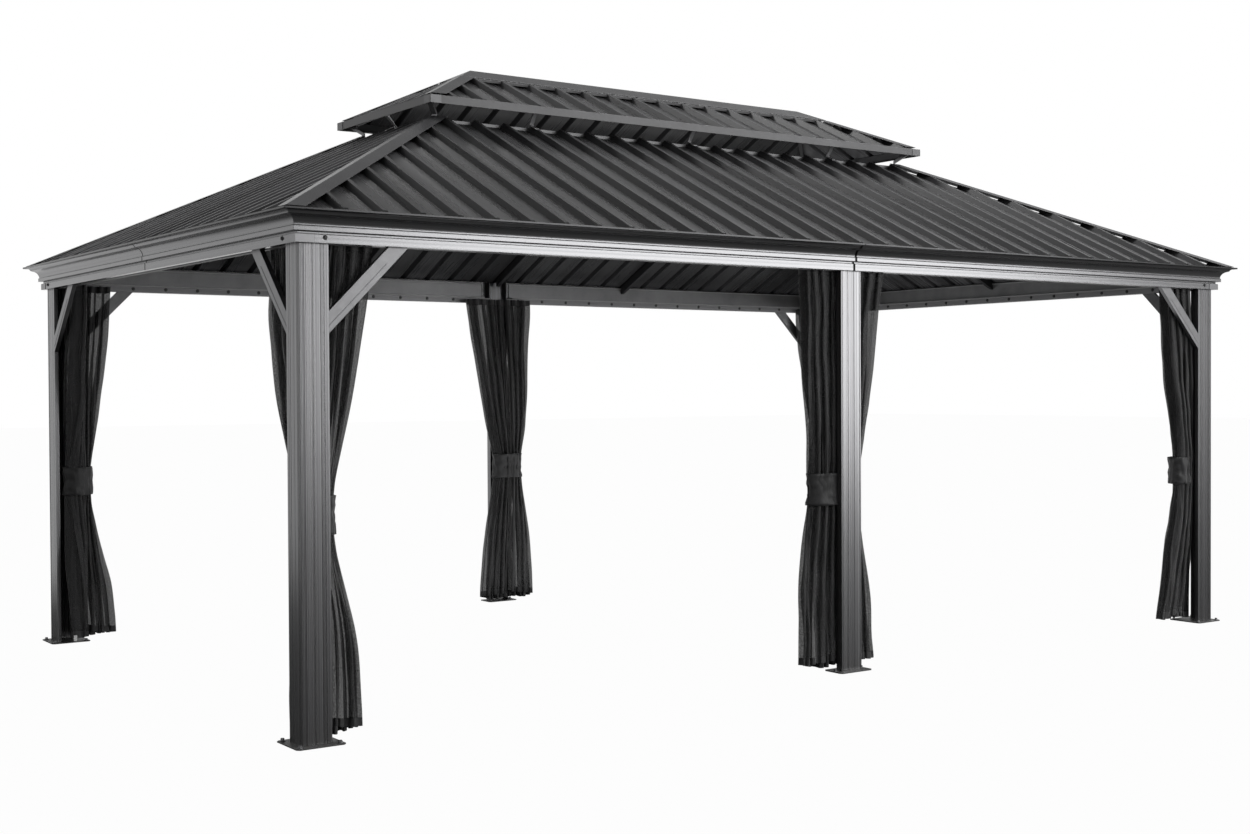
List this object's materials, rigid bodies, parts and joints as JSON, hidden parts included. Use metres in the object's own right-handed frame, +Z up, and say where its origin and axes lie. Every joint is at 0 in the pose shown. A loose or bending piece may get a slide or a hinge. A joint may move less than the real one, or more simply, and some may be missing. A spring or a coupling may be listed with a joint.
{
  "type": "hardtop garden gazebo",
  "caption": "Rectangular metal gazebo with fluted posts, a cornice eave, a ribbed roof in two vented tiers and tied-back mesh curtains.",
  "frame": {"origin": "on the ground, under the middle of the roof", "axes": "+X along the long side, to the right seen from the front; +Y to the back; +Z up"},
  "size_m": [6.01, 3.63, 3.0999],
  "materials": {
    "aluminium_frame": "satin charcoal powder coat on aluminium extrusion",
    "steel_frame": "satin charcoal powder coat on steel",
    "roof_sheet": "semi-gloss charcoal coating on galvanised steel sheet",
    "roof_trim": "semi-gloss charcoal coating on folded steel",
    "curtain_mesh": "fine black mesh netting with woven hems",
    "curtain_fabric": "woven black polyester"
  },
  "bodies": {
    "root": {"back_beam": "aluminium_frame", "back_crown": "aluminium_frame", "common_rafters": "steel_frame", "corner_caps": "roof_trim", "curtain_back_left": "curtain_mesh", "curtain_back_middle": "curtain_mesh", "curtain_back_right": "curtain_mesh", "curtain_front_left": "curtain_mesh", "curtain_front_middle": "curtain_mesh", "curtain_front_right": "curtain_mesh", "curtain_ties": "curtain_fabric", "foot_plates": "steel_frame", "front_beam": "aluminium_frame", "front_crown": "aluminium_frame", "hip_rafters": "steel_frame", "knee_braces": "aluminium_frame", "left_beam": "aluminium_frame", "left_crown": "aluminium_frame", "long_curtain_rails": "aluminium_frame", "lower_hip_caps": "roof_trim", "lower_roof_back": "roof_sheet", "lower_roof_front": "roof_sheet", "lower_roof_left": "roof_sheet", "lower_roof_right": "roof_sheet", "post_back_left": "aluminium_frame", "post_back_middle": "aluminium_frame", "post_back_right": "aluminium_frame", "post_front_left": "aluminium_frame", "post_front_middle": "aluminium_frame", "post_front_right": "aluminium_frame", "ridge_cap": "roof_trim", "right_beam": "aluminium_frame", "right_crown": "aluminium_frame", "short_curtain_rails": "aluminium_frame", "upper_fascia": "roof_trim", "upper_hip_caps": "roof_trim", "upper_rafters": "steel_frame", "upper_roof_back": "roof_sheet", "upper_roof_front": "roof_sheet", "upper_roof_left": "roof_sheet", "upper_roof_right": "roof_sheet", "vent_curb": "steel_frame", "vent_struts": "steel_frame"}
  },
  "joints": []
}
